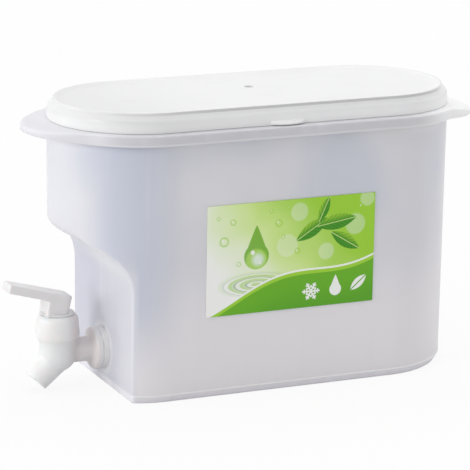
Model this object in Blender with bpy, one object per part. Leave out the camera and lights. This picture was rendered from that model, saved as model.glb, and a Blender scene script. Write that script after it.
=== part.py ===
# Fridge water jug with a tap.
# A long tub with round ends stands on z = 0 with its middle over the origin. Its tap end looks along -X
# and its label along -Y. All sizes are in metres and all angles in radians.

import math

import bmesh
import bpy
from mathutils import Vector

# Sizes of the whole jug
JUG_LENGTH = 0.2678
JUG_WIDTH = 0.1126
RIM_HEIGHT = 0.1713
WALL = 0.0018
FLOOR = 0.0022
DRAFT = 0.0008
GAP = 0.0003
OVERRUN = 0.001

# The recess behind the tap: a flat panel, a hollow sweep, a sloping shoulder and a round edge
RECESS_DEPTH = 0.0337
PANEL_HEIGHT = 0.0753
RECESS_SWEEP = 0.024
SHOULDER_SLOPE = math.radians(20)
SHOULDER_ROUND = 0.006
PANEL_CORNER = 0.0026
BASE_ROUND = 0.006
PANEL_FOOT_SHARE = 0.5
INSIDE_ROUND_SHARE = 0.7

# The rim: a plate with a turned-down skirt that swells into an ear at each end
RIM_REACH = 0.0065
RIM_PLATE = 0.0018
RIM_SKIRT = 0.0016
RIM_DROP = 0.0068
RIM_EDGE = 0.0007
TAP_EAR_REACH = 0.0122
TAP_EAR_SPREAD = math.radians(42)
TAP_EAR_DROP = 0.0050
TAP_EAR_SAG = 0.0011
FAR_EAR_REACH = 0.0127
FAR_EAR_SPREAD = math.radians(50)
FAR_EAR_DROP = 0.0072
FAR_EAR_SAG = 0.0050

# The lid: a raised deck, a sloping shoulder over an upright skirt, a plug ring that enters the
# mouth and a finger tab
LID_RISE = 0.0120
LID_WALL = 0.0014
LIP_ROUND = 0.0005
SKIRT_LEAN = 0.0003
LID_SHOULDER_DROP = 0.0075
LID_SHOULDER_INSET = 0.0012
LID_SHOULDER_HEIGHT = 0.0035
LID_SHOULDER_TURN = math.radians(60)
DECK_INSET = 0.0041
DECK_FOOT = 0.0003
DECK_RISE = 0.0018
DECK_EDGE = 0.0006
DECK_LAND = 0.0016
DECK_STEP = 0.0012
DECK_DROP = 0.0005
PLUG_RING_DEPTH = 0.0070
PLUG_RING_WALL = 0.0014
PLUG_RING_LEAD = 0.0010
TAB_HALF_WIDTH = 0.0118
TAB_REACH = 0.0040
TAB_ROOT_HEIGHT = 0.0022
TAB_TIP_HEIGHT = 0.0010
TAB_RISE = 0.0003
GATE_MARK_RADIUS = 0.0022
GATE_MARK_DEPTH = 0.0004
GATE_MARK_X = 0.0030
GATE_MARK_Y = 0.0095

# The label on the front wall
LABEL_LENGTH = 0.1150
LABEL_HEIGHT = 0.0708
LABEL_THICKNESS = 0.0003
LABEL_X = 0.0043
LABEL_BOTTOM = 0.0527

# The tap: a barrel in front of the panel, with an inlet stem through the wall and a slanted spout.
# Its rises and drops are taken from the stem's axis, and the collar's and the bead's from the top.
TAP_REACH = 0.0303
TAP_HEIGHT = 0.0236
BARREL_RADIUS = 0.0118
BARREL_WALL = 0.0020
BARREL_RISE = 0.0248
BALL_DROP = 0.0010
BALL_SHARE = 8 / 9
ELBOW_DROP = 0.0026
COLLAR_RADIUS = 0.0139
COLLAR_DROP = 0.0109
COLLAR_FLARE = 0.0075
COLLAR_SHOULDER_DROP = 0.0029
COLLAR_BROW_DROP = 0.0012
COLLAR_BROW_RADIUS = 0.0123
COLLAR_LIP_RADIUS = 0.0112
CHAMBER_DROP = 0.0056
SNAP_DROP = 0.0052
SNAP_DEPTH = 0.0005
SNAP_LENGTH = 0.0012
SPOUT_SLANT = math.radians(45)
SPOUT_LENGTH = 0.0208
SPOUT_RADIUS = 0.0081
SPOUT_ROOT_RADIUS = 0.0098
SPOUT_BORE = 0.0060
STEM_RADIUS = 0.0079
STEM_BORE = 0.0052
STEM_INSIDE = 0.0138
FLANGE_RADIUS = 0.0135
FLANGE_THICKNESS = 0.0055
FLANGE_EDGE = 0.0008
FLANGE_FACE_RADIUS = 0.0103
FLANGE_CONE = 0.0031
THREAD_PITCH = 0.0025
THREAD_DEPTH = 0.0008

# Gaskets and nut that clamp the tap to the panel
OUTER_GASKET_THICKNESS = 0.0032
OUTER_GASKET_RADIUS = 0.0131
INNER_GASKET_THICKNESS = 0.0024
INNER_GASKET_RADIUS = 0.0125
GASKET_EDGE = 0.0005
NUT_HEIGHT = 0.0070
NUT_APOTHEM = 0.0125
NUT_CORNER_RADIUS = 0.0138
NUT_EDGE = 0.0006

# The turning valve plug and its seal
PLUG_BORE = 0.0062
PLUG_BORE_RISE = 0.0064
PLUG_LEAD = 0.0006
WINDOW_RADIUS = 0.0042
SEAL_DROP = 0.0122
SEAL_SECTION = 0.0018
DRIVE_SIZE = 0.0070
DRIVE_HEIGHT = 0.0065

# The lever: a leaning square neck under a sloping blade, cored from below
NECK_FRONT = 0.0083
NECK_BACK = 0.0062
NECK_WIDTH = 0.0160
NECK_LEAN = math.radians(8)
BLADE_RISE = 0.0141
BLADE_SLOPE = math.radians(15.5)
BLADE_THICKNESS = 0.0055
BLADE_WIDTH = 0.0142
BLADE_BACK = 0.0078
LEVER_REACH = 0.0345
LEVER_WALL = 0.0016
LEVER_EDGE = 0.0006

# Counts of faces round a turned piece, along each part of the tub's outline and along the curves
ROUND_STEPS = 24
FLAT_STEPS = 3
BEND_STEPS = 3
TAP_END_STEPS = 6
FAR_END_STEPS = 9
EDGE_STEPS = 3
SWEEP_STEPS = 6
THREAD_STEPS = 5
SECTION_STEPS = 8

# The least angles that the flat and its corner take on a level without the recess
FLAT_SPREAD = math.radians(15)
BEND_SPREAD = math.radians(22)

# An end without an ear: no reach outwards, any spread and no sag
NO_EAR = (0.0, math.pi, 0.0)

# Faces that meet at less than this angle are shaded as one surface
SMOOTH_ANGLE = math.radians(30)

# Sizes that follow from the ones above
STRAIGHT = (JUG_LENGTH - JUG_WIDTH) / 2
PANEL_DISTANCE = JUG_LENGTH / 2 - RECESS_DEPTH - STRAIGHT
PANEL_X = -JUG_LENGTH / 2 + RECESS_DEPTH
TAP_X = PANEL_X - TAP_REACH
SEAT = RIM_HEIGHT + GAP
BARREL_TOP = TAP_HEIGHT + BARREL_RISE
BALL_HEIGHT = TAP_HEIGHT - BALL_DROP
ELBOW_HEIGHT = TAP_HEIGHT - ELBOW_DROP
COLLAR_MIDDLE = BARREL_TOP - COLLAR_DROP
COLLAR_START = COLLAR_MIDDLE - COLLAR_FLARE
COLLAR_SHOULDER = BARREL_TOP - COLLAR_SHOULDER_DROP
COLLAR_BROW = BARREL_TOP - COLLAR_BROW_DROP
CHAMBER_RADIUS = BARREL_RADIUS - BARREL_WALL
CHAMBER_FLOOR = TAP_HEIGHT - CHAMBER_DROP
SNAP_HEIGHT = BARREL_TOP - SNAP_DROP
PLUG_BORE_TOP = TAP_HEIGHT + PLUG_BORE_RISE
SEAL_HEIGHT = BARREL_TOP - SEAL_DROP
BLADE_TOP = BARREL_TOP + BLADE_RISE
OUTER_GASKET_START = TAP_REACH - GAP - OUTER_GASKET_THICKNESS
FLANGE_BACK = OUTER_GASKET_START - GAP
FLANGE_FRONT = FLANGE_BACK - FLANGE_THICKNESS
INNER_GASKET_START = TAP_REACH + WALL + GAP
NUT_START = INNER_GASKET_START + INNER_GASKET_THICKNESS + GAP
STEM_END = TAP_REACH + WALL + STEM_INSIDE
PLUG_RADIUS = CHAMBER_RADIUS - GAP
PLUG_FOOT = CHAMBER_FLOOR + GAP
NECK_BOTTOM = BARREL_TOP + GAP
DRIVE_TOP = BARREL_TOP + DRIVE_HEIGHT


def clear_scene():
    for old in list(bpy.data.objects):
        bpy.data.objects.remove(old, do_unlink=True)


def principled(name, colour, roughness, metallic=0.0):
    material = bpy.data.materials.new(name)
    material.use_nodes = True
    shader = material.node_tree.nodes["Principled BSDF"]
    shader.inputs["Base Color"].default_value = (*colour, 1.0)
    shader.inputs["Roughness"].default_value = roughness
    shader.inputs["Metallic"].default_value = metallic
    material.diffuse_color = (*colour, 1.0)
    return material


def add_object(name, bm, material=None, location=(0.0, 0.0, 0.0), rotation=(0.0, 0.0, 0.0)):
    mesh = bpy.data.meshes.new(name)
    bm.to_mesh(mesh)
    bm.free()
    mesh.shade_smooth()
    mesh.set_sharp_from_angle(angle=SMOOTH_ANGLE)
    piece = bpy.data.objects.new(name, mesh)
    piece.location = location
    piece.rotation_euler = rotation
    if material:
        mesh.materials.append(material)
    bpy.context.scene.collection.objects.link(piece)
    return piece


def combine(target, tool, operation):
    # The tool is only a guide for the cut or the join, so it isn't rendered
    tool.hide_render = True
    tool.display_type = "WIRE"
    modifier = target.modifiers.new(f"{operation.lower()} {tool.name}", "BOOLEAN")
    modifier.operation = operation
    modifier.solver = "EXACT"
    modifier.object = tool


def skin(bm, loops, ring=False):
    # Joins loops of equally many points. Each loop runs counter-clockwise seen from the end that
    # the list runs towards. A ring's last loop joins its first, and other shapes get two end faces.
    corners = [[bm.verts.new(point) for point in loop] for loop in loops]
    pairs = list(zip(corners, corners[1:]))
    if ring:
        pairs.append((corners[-1], corners[0]))
    else:
        bm.faces.new(reversed(corners[0]))
        bm.faces.new(corners[-1])
    for lower, upper in pairs:
        for index in range(len(lower)):
            after = (index + 1) % len(lower)
            bm.faces.new((lower[index], lower[after], upper[after], upper[index]))


def circle(radius, level):
    turns = [2 * math.pi * step / ROUND_STEPS for step in range(ROUND_STEPS)]
    return [Vector((radius * math.cos(turn), radius * math.sin(turn), level)) for turn in turns]


def turned(profile, ring=False):
    # A turned piece from pairs of radius and height, listed up its outer side
    bm = bmesh.new()
    skin(bm, [circle(radius, level) for radius, level in profile], ring)
    return bm


def box(low, high):
    bm = bmesh.new()
    bmesh.ops.create_cube(bm, size=1.0)
    for vert in bm.verts:
        vert.co = Vector([high[axis] if vert.co[axis] > 0 else low[axis] for axis in range(3)])
    return bm


# The tub's outline at one level

def half_width(level):
    return JUG_WIDTH / 2 - DRAFT * (1 - level / RIM_HEIGHT)


def ear_shape(angle, spread):
    # 1 at the tip of an end, falling smoothly to 0 at the ear's edge
    if angle >= spread:
        return 0.0
    return (1 + math.cos(math.pi * angle / spread)) / 2


def spaced(start, stop, steps):
    return [start + (stop - start) * step / steps for step in range(steps)]


def tap_end(width, cut):
    # Angle and distance from the end's centre, from the tip to the side. The recess cuts the end
    # off at the distance cut, and an arc rounds the corner where the flat meets the round end.
    arc_distance = width - PANEL_CORNER
    flat_distance = min(cut, width) - PANEL_CORNER
    lean = math.acos(max(-1.0, min(1.0, flat_distance / arc_distance)))
    flat_stop = math.atan2(arc_distance * math.sin(lean), flat_distance + PANEL_CORNER)

    def distance(angle):
        if angle <= flat_stop:
            return (flat_distance + PANEL_CORNER) / math.cos(angle)
        if angle < lean:
            sideways = arc_distance * math.sin(angle - lean)
            return arc_distance * math.cos(angle - lean) + math.sqrt(PANEL_CORNER**2 - sideways**2)
        return width

    first = max(flat_stop, FLAT_SPREAD)
    second = max(lean, BEND_SPREAD)
    angles = spaced(0.0, first, FLAT_STEPS)
    angles += spaced(first, second, BEND_STEPS)
    angles += spaced(second, math.pi / 2, TAP_END_STEPS)
    angles.append(math.pi / 2)
    return [(angle, distance(angle)) for angle in angles]


def outline(level, width, cut=None, tap_ear=NO_EAR, far_ear=NO_EAR):
    # The level's points, counter-clockwise from the tap end's tip along the front to the far end
    # and back. An ear is a reach outwards, its spread and how far its tip lies below the level.
    near = tap_end(width, width if cut is None else cut)
    far = [(angle, width) for angle in spaced(0.0, math.pi / 2, FAR_END_STEPS) + [math.pi / 2]]

    def place(end, angle, distance, side):
        reach, spread, sag = tap_ear if end < 0 else far_ear
        swell = ear_shape(angle, spread)
        radius = distance + reach * swell
        x = end * (STRAIGHT + radius * math.cos(angle))
        return Vector((x, side * radius * math.sin(angle), level - sag * swell**2))

    points = [place(-1, angle, distance, -1) for angle, distance in near]
    points += [place(1, angle, distance, -1) for angle, distance in reversed(far)]
    points += [place(1, angle, distance, 1) for angle, distance in far[1:]]
    points += [place(-1, angle, distance, 1) for angle, distance in reversed(near[1:])]
    return points


# Container

def recess_profile():
    # From the panel's top to the round shoulder: distance of the cut from the end's centre, its
    # height, and the direction into the wall's plastic as distance and height
    points = []
    sweep_distance = PANEL_DISTANCE + RECESS_SWEEP
    sweep_turn = math.pi / 2 - SHOULDER_SLOPE
    for step in range(SWEEP_STEPS + 1):
        turn = sweep_turn * step / SWEEP_STEPS
        inward = Vector((-math.cos(turn), math.sin(turn)))
        centre = Vector((sweep_distance, PANEL_HEIGHT))
        points.append((centre + inward * RECESS_SWEEP, inward))
    sweep_end = points[-1][0]
    wall_distance = half_width(PANEL_HEIGHT + RECESS_SWEEP)
    edge_distance = wall_distance - SHOULDER_ROUND
    touch = Vector((math.sin(SHOULDER_SLOPE), -math.cos(SHOULDER_SLOPE)))
    run = edge_distance + SHOULDER_ROUND * touch.x - sweep_end.x
    touch_height = sweep_end.y + run * math.tan(SHOULDER_SLOPE)
    edge_centre = Vector((edge_distance, touch_height - SHOULDER_ROUND * touch.y))
    for step in range(EDGE_STEPS + 1):
        turn = sweep_turn * (1 - step / EDGE_STEPS)
        outward = Vector((math.cos(turn), -math.sin(turn)))
        points.append((edge_centre + outward * SHOULDER_ROUND, -outward))
    return points


def rounded_foot(start, radius, inset, cut):
    # Levels round the bottom edge, from the flat base up to where the walls stand straight
    loops = []
    for step in range(EDGE_STEPS + 1):
        turn = math.pi / 2 * step / EDGE_STEPS
        level = start + radius * (1 - math.cos(turn))
        drawn_in = radius * (1 - math.sin(turn))
        width = half_width(level) - inset - drawn_in
        loops.append(outline(level, width, cut - inset - drawn_in * PANEL_FOOT_SHARE))
    return loops


def container(material):
    rim_width = half_width(RIM_HEIGHT)
    skirt_inside = rim_width + RIM_REACH - RIM_SKIRT
    skirt_outside = rim_width + RIM_REACH
    plate_bottom = RIM_HEIGHT - RIM_PLATE
    skirt_bottom = RIM_HEIGHT - RIM_DROP
    tap_ear = (TAP_EAR_REACH, TAP_EAR_SPREAD, TAP_EAR_SAG)
    far_ear = (FAR_EAR_REACH, FAR_EAR_SPREAD, FAR_EAR_SAG)
    low_tap_ear = (TAP_EAR_REACH, TAP_EAR_SPREAD, TAP_EAR_SAG + TAP_EAR_DROP - RIM_DROP)
    low_far_ear = (FAR_EAR_REACH, FAR_EAR_SPREAD, FAR_EAR_SAG + FAR_EAR_DROP - RIM_DROP)
    ears = {"tap_ear": tap_ear, "far_ear": far_ear}
    low_ears = {"tap_ear": low_tap_ear, "far_ear": low_far_ear}
    profile = recess_profile()

    outside = rounded_foot(0.0, BASE_ROUND, 0.0, PANEL_DISTANCE)
    outside += [outline(point.y, half_width(point.y), point.x) for point, _ in profile]
    outside.append(outline(plate_bottom, half_width(plate_bottom)))
    outside.append(outline(plate_bottom, skirt_inside, **ears))
    outside.append(outline(skirt_bottom, skirt_inside, **low_ears))
    outside.append(outline(skirt_bottom, skirt_outside, **low_ears))
    outside.append(outline(RIM_HEIGHT - RIM_EDGE, skirt_outside, **ears))
    outside.append(outline(RIM_HEIGHT, skirt_outside - RIM_EDGE, **ears))

    inside = rounded_foot(FLOOR, BASE_ROUND * INSIDE_ROUND_SHARE, WALL, PANEL_DISTANCE)
    for point, inward in profile:
        inner = point + inward * WALL
        inside.append(outline(inner.y, half_width(inner.y) - WALL, inner.x))
    inside.append(outline(RIM_HEIGHT, rim_width - WALL))
    inside.append(outline(RIM_HEIGHT, rim_width))

    bm = bmesh.new()
    skin(bm, outside + inside[::-1])
    piece = add_object("container", bm, material)

    hole = turned([
        (STEM_RADIUS + GAP, -OVERRUN),
        (STEM_RADIUS + GAP, WALL + OVERRUN),
    ])
    cutter = add_object("panel_hole", hole, None, (PANEL_X, 0.0, TAP_HEIGHT), (0.0, math.pi / 2, 0.0))
    combine(piece, cutter, "DIFFERENCE")
    return piece


# Lid, modelled with its seat on the rim at z = 0

def lid_section():
    # Pairs of distance outside the tub's wall line and height above the seat, from the underside
    # of the deck down round the plug ring and up over the skirt and the shoulder to the deck
    ring_outside = -(WALL + GAP)
    ring_inside = ring_outside - PLUG_RING_WALL
    shoulder = []
    for step in range(EDGE_STEPS + 1):
        turn = LID_SHOULDER_TURN * step / EDGE_STEPS
        inset = SKIRT_LEAN + LID_SHOULDER_INSET * (1 - math.cos(turn))
        rise = LID_SHOULDER_HEIGHT * math.sin(turn)
        shoulder.append(Vector((-inset, LID_RISE - LID_SHOULDER_DROP + rise)))
    foot = Vector((-(DECK_INSET - DECK_FOOT), LID_RISE - DECK_RISE))

    # The wall's inner side runs along under the slope between the shoulder and the deck's foot
    slope = (foot - shoulder[-1]).normalized()
    inner = shoulder[-1] + LID_WALL * Vector((-slope.y, slope.x))
    under_deck = LID_RISE - DECK_DROP - LID_WALL
    section = [
        (inner.x + (under_deck - inner.y) * slope.x / slope.y, under_deck),
        (inner.x, inner.y),
        (ring_inside, LID_WALL),
        (ring_inside, -PLUG_RING_DEPTH),
        (ring_outside - PLUG_RING_LEAD / 2, -PLUG_RING_DEPTH),
        (ring_outside, PLUG_RING_LEAD - PLUG_RING_DEPTH),
        (ring_outside, 0.0),
        (-LIP_ROUND, 0.0),
        (0.0, LIP_ROUND),
    ]
    section += [(point.x, point.y) for point in shoulder]
    section.append((foot.x, foot.y))
    section.append((-DECK_INSET, foot.y + DECK_FOOT))
    for step in range(EDGE_STEPS + 1):
        turn = math.pi / 2 * step / EDGE_STEPS
        inset = DECK_INSET + DECK_EDGE * (1 - math.cos(turn))
        section.append((-inset, LID_RISE - DECK_EDGE * (1 - math.sin(turn))))
    land = DECK_INSET + DECK_EDGE + DECK_LAND
    section.append((-land, LID_RISE))
    section.append((-(land + DECK_STEP), LID_RISE - DECK_DROP))
    return section


def finger_tab():
    # A half-round tab on the front edge whose top slopes down from the lid's side
    wall = half_width(RIM_HEIGHT)
    root = wall - LID_WALL
    bottom = []
    top = []
    for step in range(SECTION_STEPS + 1):
        turn = math.pi * step / SECTION_STEPS
        x = -TAB_HALF_WIDTH * math.cos(turn)
        y = -(wall + TAB_REACH * math.sin(turn))
        bottom.append(Vector((x, y, TAB_RISE)))
        top.append(Vector((x, y, TAB_RISE + TAB_TIP_HEIGHT)))
    for x in (TAB_HALF_WIDTH, -TAB_HALF_WIDTH):
        bottom.append(Vector((x, -root, TAB_RISE)))
        top.append(Vector((x, -root, TAB_RISE + TAB_ROOT_HEIGHT)))
    bm = bmesh.new()
    skin(bm, [bottom, top])
    bmesh.ops.triangulate(bm, faces=[face for face in bm.faces if len(face.verts) > 4])
    return bm


def lid(material):
    bm = bmesh.new()
    wall = half_width(RIM_HEIGHT)
    skin(bm, [outline(level, wall + out) for out, level in lid_section()])
    seat = (0.0, 0.0, SEAT)
    piece = add_object("lid", bm, material, seat)
    tab = add_object("finger_tab", finger_tab(), None, seat)
    combine(piece, tab, "UNION")
    deck = LID_RISE - DECK_DROP
    mark = turned([(GATE_MARK_RADIUS, deck - GATE_MARK_DEPTH), (GATE_MARK_RADIUS, LID_RISE + OVERRUN)])
    cutter = add_object("gate_mark", mark, None, (GATE_MARK_X, GATE_MARK_Y, SEAT))
    combine(piece, cutter, "DIFFERENCE")
    return piece


# Label

def label(material):
    # A thin sheet that follows the lean of the front wall
    bm = bmesh.new()
    loops = []
    for level in (LABEL_BOTTOM, LABEL_BOTTOM + LABEL_HEIGHT):
        back = -(half_width(level) + GAP)
        left = LABEL_X - LABEL_LENGTH / 2
        right = LABEL_X + LABEL_LENGTH / 2
        front = back - LABEL_THICKNESS
        corners = ((left, front), (right, front), (right, back), (left, back))
        loops.append([Vector((x, y, level)) for x, y in corners])
    skin(bm, loops)
    return add_object("label", bm, material)


# Tap, with the barrel's axis at x = 0 and heights from the jug's base

def thread_radius(along, turn):
    wave = math.cos(2 * math.pi * along / THREAD_PITCH - turn)
    return STEM_RADIUS - THREAD_DEPTH * (1 - wave) / 2


def thread_loop(along, extra=0.0):
    # A loop round the stem's axis, at a distance along it from the barrel's axis
    points = []
    for step in range(ROUND_STEPS):
        turn = 2 * math.pi * step / ROUND_STEPS
        radius = thread_radius(along, turn) + extra
        points.append(Vector((radius * math.cos(turn), radius * math.sin(turn), along)))
    return points


def thread_levels(start, stop):
    # Every thread is cut on the same levels, so that nut and stem mesh all the way
    rise = THREAD_PITCH / THREAD_STEPS
    first = math.ceil(start / rise)
    last = math.floor(stop / rise)
    return [rise * index for index in range(first, last + 1)]


def barrel():
    # A ball at the bottom, flattened at its foot, and a collar that swells out at the top
    profile = []
    for step in range(SWEEP_STEPS + 1):
        turn = -math.pi / 2 * BALL_SHARE * (1 - step / SWEEP_STEPS)
        profile.append((BARREL_RADIUS * math.cos(turn), BALL_HEIGHT + BARREL_RADIUS * math.sin(turn)))
    for step in range(SWEEP_STEPS + 1):
        turn = math.pi * step / SWEEP_STEPS
        swell = (1 - math.cos(turn)) / 2
        radius = BARREL_RADIUS + (COLLAR_RADIUS - BARREL_RADIUS) * swell
        profile.append((radius, COLLAR_START + (COLLAR_MIDDLE - COLLAR_START) * step / SWEEP_STEPS))
    profile.append(((COLLAR_RADIUS + COLLAR_BROW_RADIUS) / 2, COLLAR_SHOULDER))
    profile.append((COLLAR_BROW_RADIUS, COLLAR_BROW))
    profile.append((COLLAR_LIP_RADIUS, BARREL_TOP))
    return turned(profile)


def stem():
    loops = [circle(radius, along) for radius, along in (
        (STEM_RADIUS, 0.0),
        (STEM_RADIUS, FLANGE_FRONT),
        (FLANGE_FACE_RADIUS, FLANGE_FRONT),
        (FLANGE_RADIUS - FLANGE_EDGE, FLANGE_FRONT + FLANGE_CONE - FLANGE_EDGE),
        (FLANGE_RADIUS, FLANGE_FRONT + FLANGE_CONE),
        (FLANGE_RADIUS, FLANGE_BACK - FLANGE_EDGE),
        (FLANGE_RADIUS - FLANGE_EDGE, FLANGE_BACK),
        (STEM_RADIUS - THREAD_DEPTH, FLANGE_BACK),
    )]
    end = STEM_END - THREAD_DEPTH
    loops += [thread_loop(along) for along in thread_levels(FLANGE_BACK + THREAD_DEPTH, end - THREAD_DEPTH)]
    loops.append(circle(STEM_RADIUS - THREAD_DEPTH, end))
    loops.append(circle(STEM_RADIUS - THREAD_DEPTH, STEM_END))
    bm = bmesh.new()
    skin(bm, loops)
    return bm


def chamber():
    # The space in the barrel for the plug, with a groove for the plug's snap bead
    groove = CHAMBER_RADIUS + SNAP_DEPTH
    return turned([
        (CHAMBER_RADIUS, CHAMBER_FLOOR),
        (CHAMBER_RADIUS, SNAP_HEIGHT - SNAP_LENGTH),
        (groove, SNAP_HEIGHT - SNAP_LENGTH / 2),
        (groove, SNAP_HEIGHT + SNAP_LENGTH / 2),
        (CHAMBER_RADIUS, SNAP_HEIGHT + SNAP_LENGTH),
        (CHAMBER_RADIUS, BARREL_TOP + OVERRUN),
    ])


def tap_body(material):
    place = (TAP_X, 0.0, 0.0)
    elbow = (TAP_X, 0.0, ELBOW_HEIGHT)
    inlet = (TAP_X, 0.0, TAP_HEIGHT)
    along_stem = (0.0, math.pi / 2, 0.0)
    along_spout = (0.0, math.pi + SPOUT_SLANT, 0.0)
    piece = add_object("tap_body", barrel(), material, place)
    spout = turned([(SPOUT_ROOT_RADIUS, 0.0), (SPOUT_RADIUS, SPOUT_LENGTH)])
    combine(piece, add_object("spout", spout, None, elbow, along_spout), "UNION")
    combine(piece, add_object("stem", stem(), None, inlet, along_stem), "UNION")
    combine(piece, add_object("chamber", chamber(), None, place), "DIFFERENCE")
    outlet = turned([(SPOUT_BORE, 0.0), (SPOUT_BORE, SPOUT_LENGTH + OVERRUN)])
    combine(piece, add_object("spout_bore", outlet, None, elbow, along_spout), "DIFFERENCE")
    way_in = turned([(STEM_BORE, 0.0), (STEM_BORE, STEM_END + OVERRUN)])
    combine(piece, add_object("stem_bore", way_in, None, inlet, along_stem), "DIFFERENCE")
    return piece


# Gaskets and nut, modelled along the stem's axis from the barrel's axis

def washer(start, thickness, radius):
    hole = STEM_RADIUS + GAP
    return turned([
        (hole, start),
        (radius - GASKET_EDGE, start),
        (radius, start + GASKET_EDGE),
        (radius, start + thickness - GASKET_EDGE),
        (radius - GASKET_EDGE, start + thickness),
        (hole, start + thickness),
    ], ring=True)


def gasket(name, start, thickness, radius, material):
    bm = washer(start, thickness, radius)
    return add_object(name, bm, material, (TAP_X, 0.0, TAP_HEIGHT), (0.0, math.pi / 2, 0.0))


def nut_loop(along, inset=0.0):
    # A hexagon with its corners turned off
    points = []
    sixth = math.pi / 3
    for step in range(ROUND_STEPS):
        turn = 2 * math.pi * step / ROUND_STEPS
        from_flat = (turn + sixth / 2) % sixth - sixth / 2
        radius = min(NUT_APOTHEM / math.cos(from_flat), NUT_CORNER_RADIUS) - inset
        points.append(Vector((radius * math.cos(turn), radius * math.sin(turn), along)))
    return points


def tap_nut(material):
    stop = NUT_START + NUT_HEIGHT
    mouth = STEM_RADIUS + GAP
    loops = [
        circle(mouth, NUT_START),
        nut_loop(NUT_START, NUT_EDGE),
        nut_loop(NUT_START + NUT_EDGE),
        nut_loop(stop - NUT_EDGE),
        nut_loop(stop, NUT_EDGE),
        circle(mouth, stop),
    ]
    levels = thread_levels(NUT_START + THREAD_DEPTH, stop - THREAD_DEPTH)
    loops += [thread_loop(along, GAP) for along in reversed(levels)]
    bm = bmesh.new()
    skin(bm, loops, ring=True)
    return add_object("tap_nut", bm, material, (TAP_X, 0.0, TAP_HEIGHT), (0.0, math.pi / 2, 0.0))


# Valve plug, its seal and the lever: all turn about the barrel's axis

def tap_plug(material):
    groove_half = SEAL_SECTION / 2 + GAP
    groove_radius = PLUG_RADIUS - SEAL_SECTION - GAP
    bead = PLUG_RADIUS + SNAP_DEPTH
    bm = turned([
        (PLUG_RADIUS - PLUG_LEAD, PLUG_FOOT),
        (PLUG_RADIUS, PLUG_FOOT + PLUG_LEAD),
        (PLUG_RADIUS, SEAL_HEIGHT - groove_half),
        (groove_radius, SEAL_HEIGHT - groove_half),
        (groove_radius, SEAL_HEIGHT + groove_half),
        (PLUG_RADIUS, SEAL_HEIGHT + groove_half),
        (PLUG_RADIUS, SNAP_HEIGHT - SNAP_LENGTH),
        (bead, SNAP_HEIGHT - SNAP_LENGTH / 2),
        (bead, SNAP_HEIGHT + SNAP_LENGTH / 2),
        (PLUG_RADIUS, SNAP_HEIGHT + SNAP_LENGTH),
        (PLUG_RADIUS, BARREL_TOP),
    ])
    place = (TAP_X, 0.0, 0.0)
    piece = add_object("tap_plug", bm, material, place)
    half = DRIVE_SIZE / 2
    drive = box((-half, -half, SNAP_HEIGHT), (half, half, DRIVE_TOP))
    combine(piece, add_object("plug_drive", drive, None, place), "UNION")
    hollow = turned([(PLUG_BORE, PLUG_FOOT - OVERRUN), (PLUG_BORE, PLUG_BORE_TOP)])
    combine(piece, add_object("plug_hollow", hollow, None, place), "DIFFERENCE")
    window = turned([(WINDOW_RADIUS, 0.0), (WINDOW_RADIUS, PLUG_RADIUS + OVERRUN)])
    side = (TAP_X, 0.0, TAP_HEIGHT)
    combine(piece, add_object("plug_window", window, None, side, (math.pi / 2, 0.0, 0.0)), "DIFFERENCE")
    return piece


def plug_seal(material):
    # A round rubber ring whose outside is level with the plug's
    radius = SEAL_SECTION / 2
    middle = PLUG_RADIUS - radius
    turns = [2 * math.pi * step / SECTION_STEPS for step in range(SECTION_STEPS)]
    profile = [(middle + radius * math.cos(turn), SEAL_HEIGHT + radius * math.sin(turn)) for turn in turns]
    return add_object("plug_seal", turned(profile, ring=True), material, (TAP_X, 0.0, 0.0))


def blade_top(x):
    return BLADE_TOP - x * math.tan(BLADE_SLOPE)


def prism(outline_points, width_at):
    # A plate drawn as x and height, seen from the front, with its width at each x
    front = [Vector((x, -width_at(x) / 2, height)) for x, height in outline_points]
    back = [Vector((x, width_at(x) / 2, height)) for x, height in outline_points]
    bm = bmesh.new()
    skin(bm, [back, front])
    return bm


def lever_width(x):
    share = (-x - NECK_FRONT) / (LEVER_REACH - NECK_FRONT)
    return NECK_WIDTH + (BLADE_WIDTH - NECK_WIDTH) * max(0.0, min(1.0, share))


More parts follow.
